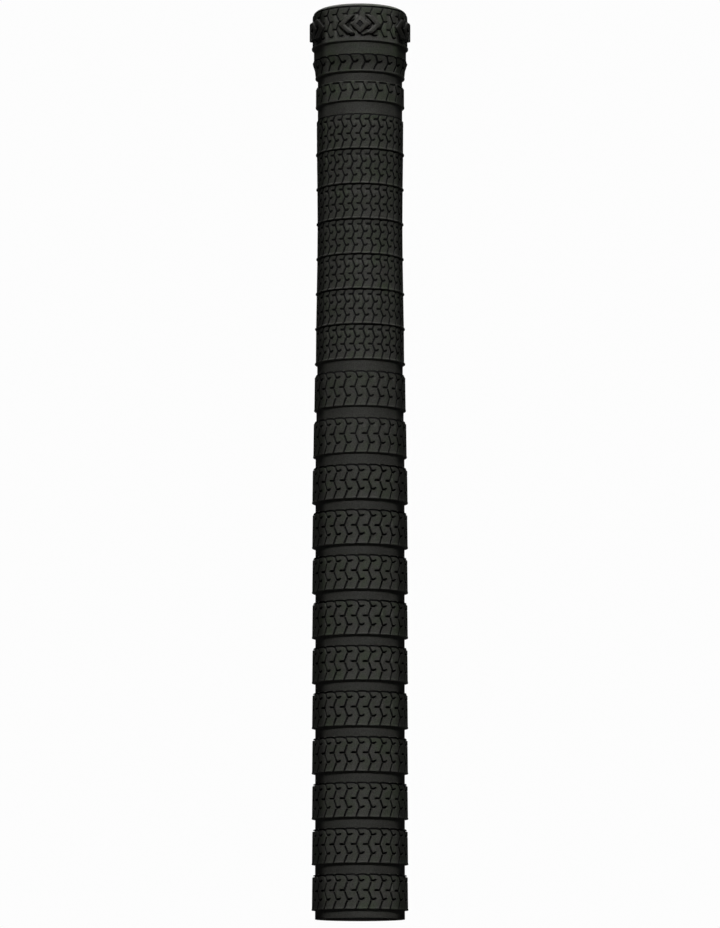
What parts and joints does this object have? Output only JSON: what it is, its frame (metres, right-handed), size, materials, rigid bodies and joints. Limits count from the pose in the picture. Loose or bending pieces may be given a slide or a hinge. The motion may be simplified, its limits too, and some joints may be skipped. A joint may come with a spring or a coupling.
{
  "type": "cricket bat handle grip",
  "caption": "Slim black rubber handle sleeve, open at both ends, with fine zigzag tread on its rings and bands and a thicker rounded collar at the top.",
  "frame": {"origin": "centre of the plain lower end face, on the bore's axis; the sleeve stands on that face", "axes": "+Z along the bore towards the collar; -Y faces the side with one raised mark in its middle"},
  "size_m": [0.0322, 0.032, 0.29],
  "materials": {
    "sleeve_rubber": "plain matte moulded rubber",
    "ring_rubber": "matte moulded rubber with fine zigzag tread",
    "band_rubber": "matte moulded rubber with finer zigzag tread",
    "collar_rubber": "matte moulded rubber with faint tread and a smooth rim",
    "mark_rubber": "smooth raised moulded rubber"
  },
  "bodies": {
    "root": {"core_sleeve": "sleeve_rubber", "collar": "collar_rubber", "collar_motifs": "mark_rubber", "neck_ring_upper": "ring_rubber", "neck_ring_lower": "ring_rubber", "upper_band_1": "band_rubber", "upper_band_2": "band_rubber", "upper_band_3": "band_rubber", "upper_band_4": "band_rubber", "upper_band_5": "band_rubber", "upper_band_6": "band_rubber", "upper_band_7": "band_rubber", "lower_ring_1": "ring_rubber", "lower_ring_2": "ring_rubber", "lower_ring_3": "ring_rubber", "lower_ring_4": "ring_rubber", "lower_ring_5": "ring_rubber", "lower_ring_6": "ring_rubber", "lower_ring_7": "ring_rubber", "lower_ring_8": "ring_rubber", "lower_ring_9": "ring_rubber", "lower_ring_10": "ring_rubber", "lower_ring_11": "ring_rubber", "lower_ring_12": "ring_rubber"}
  },
  "joints": []
}
